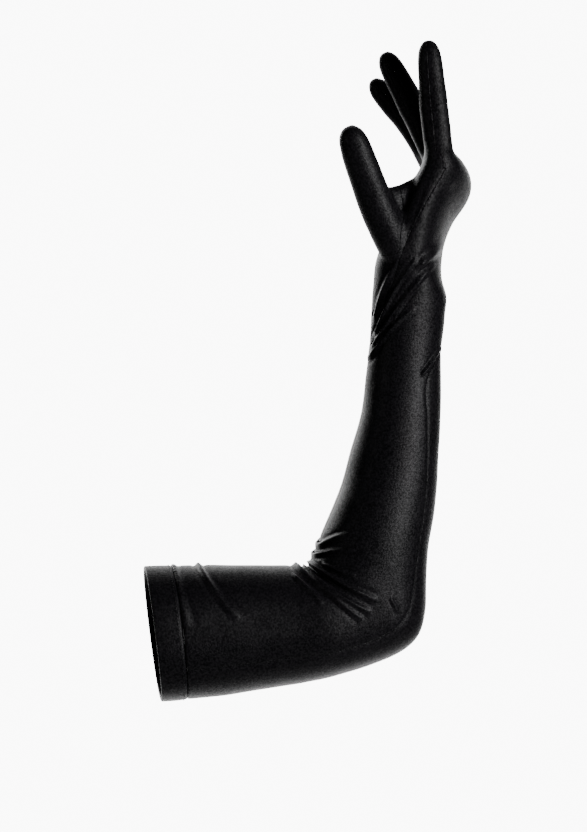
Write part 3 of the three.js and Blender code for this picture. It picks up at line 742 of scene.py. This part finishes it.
def fork_space(digit, neighbour, gap):
    half = SIDEWALL * 0.62 + gap
    rings = []
    for one in (digit, neighbour):
        corners = []
        for share, deep in ((0.13 - gap / one.length, -half), (0.13 - gap / one.length, half), (0.4, half),
                            (0.4, -half)):
            middle, _, back, _ = (v[0] for v in one.at(share))
            corners.append(middle + back * deep)
        rings.append(corners)
    return skin("fork_space", rings)


def thumb_space(gap):
    shares, backs, rests = zip(*THUMB_FOOT)
    turn = np.radians(np.arange(48) * 7.5)
    rings = []
    for share in np.concatenate([np.linspace(0.15, 0.65, 16), [0.8, 1.1]]):
        back_reach, rest = (float(hermite(shares, column, np.array([share]))[0])
                            for column in (backs, rests))
        middle, _, back, side = (v[0] for v in thumb.at(share - gap * (1 - rest) / THUMB_LENGTH))
        deep = np.cos(turn) * (np.where(np.cos(turn) > 0, back_reach, rest) * THUMB_SEAM + gap)
        wide = np.sin(turn) * (rest * THUMB_SEAM + gap)
        rings.append(middle + deep[:, None] * back + wide[:, None] * side)
    return skin("thumb_space", rings)


def cut(obj, operation, tools, name, keep=False):
    """A new object: obj joined with, less, or inside of each of the tools."""
    for tool in tools:
        boolean = obj.modifiers.new("cut", "BOOLEAN")
        boolean.operation = operation
        boolean.solver = "MANIFOLD"
        boolean.object = tool
    if keep:
        graph = bpy.context.evaluated_depsgraph_get()
        mesh = bpy.data.meshes.new_from_object(obj.evaluated_get(graph))
        obj.modifiers.clear()
        out = bpy.data.objects.new(name, mesh)
        bpy.context.scene.collection.objects.link(out)
    else:
        out = evaluated(obj, name)
    for tool in tools:
        discard(tool)
    return out


def palm_space(gap):
    hand = cut(sleeve_space(gap), "DIFFERENCE", [finger_half(d, True, gap) for d in digits], "hand_space")
    halves = [finger_half(d, False, gap) for d in digits]
    return cut(hand, "UNION", [web_skin("web_space", 1 + gap)] + halves, "palm_space")


def pair_space(a, b, gap):
    rest = [strip_space(b, -1, gap), fork_space(a, b, gap)]
    return cut(strip_space(a, 1, gap), "UNION", rest, "pair_space")


shell = cut(outer, "DIFFERENCE", [inner], "shell")
cloth = {"thumb": cut(shell, "INTERSECT", [thumb_space(0)], "thumb_cloth", keep=True)}
shell = cut(shell, "DIFFERENCE", [thumb_space(SEAM_GAP)], "shell")
for a, b in zip(digits, digits[1:]):
    name = f"sidewall_{a.name}_{b.name}"
    cloth[name] = cut(shell, "INTERSECT", [pair_space(a, b, 0)], name + "_cloth", keep=True)
    shell = cut(shell, "DIFFERENCE", [pair_space(a, b, SEAM_GAP)], "shell")
cloth["palm_panel"] = cut(shell, "INTERSECT", [palm_space(0)], "palm_panel_cloth", keep=True)
cloth["back_panel"] = cut(shell, "DIFFERENCE", [palm_space(SEAM_GAP)], "back_panel_cloth")
for name, obj in cloth.items():
    print(name, len(obj.data.vertices), "points", len(obj.data.polygons), "faces")

# %% [markdown]
# ## The turned edge
# The rim is folded in and sewn down, so it is a ring of double cloth, rounded over at the rim and
# a little fuller than the sleeve behind its stitches.

# %% Turned edge
HEM_SIDES = 240
HEM_THICKNESS = 2.2
HEM_ANGLES = np.arange(HEM_SIDES) * 360 / HEM_SIDES


def hem_ring():
    outline = []
    for t in np.linspace(0, 1, 13):
        place = HEM_DEPTH * (1 - t) + HEM_FOLD * t
        sunk = 0.35 * math.exp(-((place - HEM_DEPTH) / 1.2) ** 2)
        outline.append((place, 0.25 * math.sin(math.pi * t) - sunk))
    for t in np.radians(np.arange(15, 180, 15)):
        outline.append((HEM_FOLD * (1 - math.sin(t)), -HEM_THICKNESS / 2 * (1 - math.cos(t))))
    outline += [(HEM_FOLD + (HEM_DEPTH - HEM_FOLD) * t, -HEM_THICKNESS) for t in np.linspace(0, 1, 9)]
    rings = []
    for place, grow in outline:
        p = sleeve_points(np.full(HEM_SIDES, place), HEM_ANGLES, grow)
        ripple = np.array([noise.noise(Vector(q) * 0.035) for q in p]) * 0.35
        middle, _, _ = line_at(np.array([place]))
        rings.append(p + unit(p - middle) * ripple[:, None])
    points = np.concatenate(rings)
    faces = []
    for r in range(len(rings)):
        faces += band(r * HEM_SIDES, (r + 1) % len(rings) * HEM_SIDES, HEM_SIDES)
    return mesh_object("cuff_hem_cloth", points, facing_out(points, faces))


cloth["cuff_hem"] = hem_ring()
print("hem faces", len(cloth["cuff_hem"].data.polygons))

# %% [markdown]
# ## Velvet
# The pile is short and dense. Seen along its tips it is near black, and it turns grey where it is
# seen or lit from the side. A wrapper class lets the shader be written as plain sums.

# %% Shader sums
class Sock:
    """A node socket that can be added, multiplied and so on."""

    def __init__(self, tree, out):
        self.tree, self.out = tree, out

    def math(self, operation, other=None):
        node = self.tree.nodes.new("ShaderNodeMath")
        node.operation = operation
        for i, value in enumerate([self, other]):
            if isinstance(value, Sock):
                self.tree.links.new(value.out, node.inputs[i])
            elif value is not None:
                node.inputs[i].default_value = value
        return Sock(self.tree, node.outputs[0])

    def __add__(self, other):
        return self.math("ADD", other)

    def __sub__(self, other):
        return self.math("SUBTRACT", other)

    def __mul__(self, other):
        return self.math("MULTIPLY", other)

    def __truediv__(self, other):
        return self.math("DIVIDE", other)

    def clamp(self, low=0.0, high=1.0):
        return self.math("MAXIMUM", low).math("MINIMUM", high)

    def between(self, low, high):
        return ((self - low) / (high - low)).clamp()


def noise_sock(tree, coordinates_out, scale, detail, roughness=0.5, stretch=(1, 1, 1)):
    mapping = tree.nodes.new("ShaderNodeMapping")
    mapping.inputs["Scale"].default_value = stretch
    tree.links.new(coordinates_out, mapping.inputs["Vector"])
    node = tree.nodes.new("ShaderNodeTexNoise")
    node.inputs["Scale"].default_value = scale
    node.inputs["Detail"].default_value = detail
    node.inputs["Roughness"].default_value = roughness
    tree.links.new(mapping.outputs["Vector"], node.inputs["Vector"])
    return Sock(tree, node.outputs["Fac"])


# colour, specular, sheen
FLAT_PILE = ((0.0004, 0.0004, 0.0005), 0.008, 0.002)
RAISED_PILE = ((0.0022, 0.002, 0.0024), 0.045, 0.012)
PATCH_SCALE = 22
STREAK_SCALE = 300
TUFT_SCALE = 760
FINE_SCALE = 2600
PILE_HEIGHT = 0.0006


def pile_shader(tree, pile, shine, roughness, normal):
    """One kind of pile. Its sheen is constant, and its roughness varies."""
    colour, specular, sheen = pile
    shader = tree.nodes.new("ShaderNodeBsdfPrincipled")
    shader.inputs["Base Color"].default_value = (*colour, 1)
    tree.links.new(roughness.out, shader.inputs["Roughness"])
    shader.inputs["Specular IOR Level"].default_value = specular * shine
    shader.inputs["Sheen Weight"].default_value = sheen * shine
    shader.inputs["Sheen Roughness"].default_value = 0.4
    shader.inputs["Sheen Tint"].default_value = (0.95, 0.9, 0.97, 1)
    tree.links.new(normal, shader.inputs["Normal"])
    return shader.outputs[0]


def velvet(name, shine, relief_strength):
    """Black velvet: dark pile, with tufts and brushed patches that stand up and catch the light."""
    material = bpy.data.materials.new(name)
    material.use_nodes = True
    tree = material.node_tree
    tree.nodes.clear()
    where = tree.nodes.new("ShaderNodeTexCoord").outputs["Object"]
    patches = noise_sock(tree, where, PATCH_SCALE, 3, 0.6).between(0.35, 0.7)
    tufts = noise_sock(tree, where, TUFT_SCALE, 2, 0.7)
    fine = noise_sock(tree, where, FINE_SCALE, 1, 0.5)
    streaks = noise_sock(tree, where, STREAK_SCALE, 2, 0.6, (0.3, 1, 0.3)).between(0.3, 0.7)
    standing = (tufts.between(0.4, 0.6) * 0.66 + patches * 0.2 + streaks * 0.14).clamp()
    roughness = (tufts * 0.16 + 0.3).clamp()
    bump = tree.nodes.new("ShaderNodeBump")
    bump.inputs["Strength"].default_value = relief_strength
    bump.inputs["Distance"].default_value = PILE_HEIGHT
    tree.links.new((tufts * 0.6 + fine * 0.4).out, bump.inputs["Height"])
    normal = bump.outputs["Normal"]
    mix = tree.nodes.new("ShaderNodeMixShader")
    tree.links.new(standing.out, mix.inputs[0])
    flat = pile_shader(tree, FLAT_PILE, shine, roughness, normal)
    raised = pile_shader(tree, RAISED_PILE, shine, roughness, normal)
    tree.links.new(flat, mix.inputs[1])
    tree.links.new(raised, mix.inputs[2])
    output = tree.nodes.new("ShaderNodeOutputMaterial")
    tree.links.new(mix.outputs[0], output.inputs["Surface"])
    return material


VELVET = velvet("black velvet", 1.0, 0.5)
THREAD = velvet("black thread", 2.0, 0.2)

# %% [markdown]
# ## Stitches
# The turned edge is sewn down with one row of stitches. A Geometry Nodes group sets a stitch at
# each step of a line, and the sizes are inputs of the group.

# %% Stitches
STITCH_SPACING = 0.0023
STITCH_LENGTH = 0.0008
STITCH_THICKNESS = 0.00024
STITCH_INSET = 2.2
STITCH_LIFT = 0.32


def stitch_group():
    group = bpy.data.node_groups.new("stitches", "GeometryNodeTree")
    group.interface.new_socket("Geometry", in_out="INPUT", socket_type="NodeSocketGeometry")
    for name, value in (("Spacing", STITCH_SPACING), ("Length", STITCH_LENGTH),
                        ("Thickness", STITCH_THICKNESS)):
        socket = group.interface.new_socket(name, in_out="INPUT", socket_type="NodeSocketFloat")
        socket.default_value = value
    group.interface.new_socket("Material", in_out="INPUT", socket_type="NodeSocketMaterial")
    group.interface.new_socket("Geometry", in_out="OUTPUT", socket_type="NodeSocketGeometry")
    node = {}
    for key, kind in (("in", "NodeGroupInput"), ("out", "NodeGroupOutput"),
                      ("curve", "GeometryNodeMeshToCurve"), ("points", "GeometryNodeCurveToPoints"),
                      ("ball", "GeometryNodeMeshUVSphere"), ("size", "ShaderNodeCombineXYZ"),
                      ("place", "GeometryNodeInstanceOnPoints"), ("real", "GeometryNodeRealizeInstances"),
                      ("paint", "GeometryNodeSetMaterial")):
        node[key] = group.nodes.new(kind)
    node["points"].mode = "LENGTH"
    node["ball"].inputs["Segments"].default_value = 8
    node["ball"].inputs["Rings"].default_value = 6
    node["ball"].inputs["Radius"].default_value = 1.0
    for a, out, b, into in (
        ("in", "Geometry", "curve", "Mesh"), ("curve", "Curve", "points", "Curve"),
        ("in", "Spacing", "points", "Length"), ("points", "Points", "place", "Points"),
        ("points", "Rotation", "place", "Rotation"), ("ball", "Mesh", "place", "Instance"),
        ("in", "Thickness", "size", "X"), ("in", "Thickness", "size", "Y"), ("in", "Length", "size", "Z"),
        ("size", "Vector", "place", "Scale"), ("place", "Instances", "real", "Geometry"),
        ("real", "Geometry", "paint", "Geometry"), ("in", "Material", "paint", "Material"),
        ("paint", "Geometry", "out", "Geometry"),
    ):
        group.links.new(node[a].outputs[out], node[b].inputs[into])
    return group


STITCHES = stitch_group()


def stitches(name, points):
    """A closed row of stitches through points in mm."""
    count = len(points)
    mesh = bpy.data.meshes.new(name)
    mesh.from_pydata((np.asarray(points) * MM).tolist(), [(i, (i + 1) % count) for i in range(count)], [])
    line = bpy.data.objects.new(name, mesh)
    bpy.context.scene.collection.objects.link(line)
    modifier = line.modifiers.new("stitches", "NODES")
    modifier.node_group = STITCHES
    items = STITCHES.interface.items_tree
    sockets = {item.name: item.identifier for item in items if item.in_out == "INPUT"}
    modifier[sockets["Material"]] = THREAD
    return evaluated(line, name)


hem_line = sleeve_points(np.full(HEM_SIDES, HEM_DEPTH - STITCH_INSET), HEM_ANGLES, STITCH_LIFT)
hem_stitches = stitches("hem_stitches", hem_line)
print("stitch faces", len(hem_stitches.data.polygons))

# %% [markdown]
# ## Placing the cloth
# Each piece rides on the one body of the frame and stands in for its solid.

# %% Place the pieces
for node, obj in cloth.items():
    obj.name = node + "_cloth"
    obj.data.name = obj.name
    obj.data.materials.clear()
    obj.data.materials.append(VELVET)
    obj.data.polygons.foreach_set("use_smooth", [True] * len(obj.data.polygons))
    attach(obj, "root")
    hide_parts(node)
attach(hem_stitches, "root")

# %% [markdown]
# ## Light and camera
# The glove is held up by the arm inside it, so it stands free against white, as in the picture.
# The surroundings are bright behind it and a little below, which draws a sheen along its edges,
# and dark in front. A tall light on the right draws the bright band down the arm, and two weaker
# ones show the left and the far side.

# %% Surroundings
SEEN, BEHIND, BELOW, AROUND = 10, 5, 1.0, 0.04


def surroundings():
    """White where the camera sees it, and dark or bright by direction where the cloth does."""
    world = bpy.data.worlds.new("surroundings")
    bpy.context.scene.world = world
    world.use_nodes = True
    tree = world.node_tree
    background = tree.nodes["Background"]
    split = tree.nodes.new("ShaderNodeSeparateXYZ")
    tree.links.new(tree.nodes.new("ShaderNodeTexCoord").outputs["Generated"], split.inputs[0])
    x, y, z = (Sock(tree, split.outputs[k]) for k in range(3))
    behind = y.between(0.35, 0.75) * (x.math("ABSOLUTE").between(0.4, 0.7) * -1 + 1)
    below = (z * -1).between(0.3, 0.8)
    seen = Sock(tree, tree.nodes.new("ShaderNodeLightPath").outputs["Is Camera Ray"])
    strength = seen * SEEN + (seen * -1 + 1) * (behind * BEHIND + below * BELOW + AROUND)
    tree.links.new(strength.out, background.inputs["Strength"])
    background.inputs["Color"].default_value = (1, 1, 1, 1)


surroundings()


def area_light(name, place, aim, size, power):
    data = bpy.data.lights.new(name, "AREA")
    data.shape = "RECTANGLE"
    data.size, data.size_y = size
    data.energy = power
    obj = bpy.data.objects.new(name, data)
    obj.location = place
    obj.rotation_euler = (Vector(aim) - Vector(place)).to_track_quat("-Z", "Y").to_euler()
    bpy.context.scene.collection.objects.link(obj)


area_light("right_light", (1.43, -1.4, 0.3), (0.15, 0, 0.15), (0.4, 1.1), 200)
area_light("left_light", (-1.7, -0.6, 0.5), (0.1, 0, 0.15), (0.4, 1.0), 9)
area_light("far_light", (-0.9, 1.7, 0.9), (0.1, 0, 0.15), (0.5, 1.0), 30)

AIM = Vector((0.0948, 0, 0.1454))
SENSOR, PICTURE_HEIGHT, PICTURE_POINT = 36, 832, 0.00067
AZIMUTH, ELEVATION, DISTANCE = math.radians(-5.5), math.radians(1.5), 2.4
away = Vector((math.sin(AZIMUTH) * math.cos(ELEVATION), -math.cos(AZIMUTH) * math.cos(ELEVATION),
               math.sin(ELEVATION)))
camera = bpy.data.objects.new("camera", bpy.data.cameras.new("camera"))
camera.location = AIM + away * DISTANCE
camera.rotation_euler = (-away).to_track_quat("-Z", "Y").to_euler()
camera.data.lens = SENSOR * DISTANCE / (PICTURE_HEIGHT * PICTURE_POINT)
bpy.context.scene.collection.objects.link(camera)
bpy.context.scene.camera = camera
